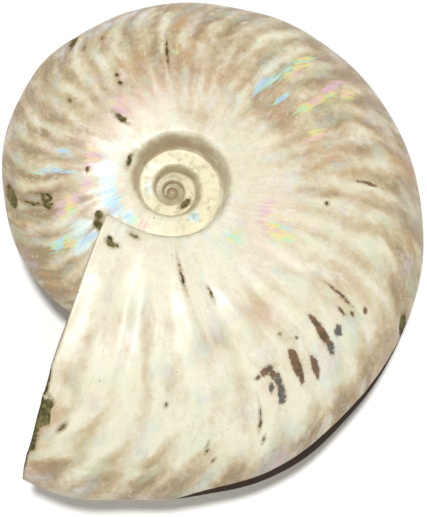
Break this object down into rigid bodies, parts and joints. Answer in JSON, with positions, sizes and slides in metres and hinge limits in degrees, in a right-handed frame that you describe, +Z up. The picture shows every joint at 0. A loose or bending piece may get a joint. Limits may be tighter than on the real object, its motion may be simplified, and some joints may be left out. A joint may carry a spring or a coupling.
{
  "type": "ammonite fossil",
  "caption": "Whole polished nacreous ammonite: a flat-coiled, tapering spiral shell with faint sickle-shaped folds, a stepped umbilicus and a broken, stone-filled mouth, lying on one flank.",
  "frame": {"origin": "under the middle of the shell's bounding box, on the surface that it lies on", "axes": "+Z up, across the coil, which lies on its flank; +Y away from the broken mouth; +X to the right, with the mouth at the front left"},
  "size_m": [0.0828, 0.1, 0.0322],
  "materials": {
    "nacre": "polished fossil mother-of-pearl, cream to beige with brown and iridescent patches, over brown stone"
  },
  "bodies": {
    "root": {"ammonite": "nacre"}
  },
  "joints": []
}
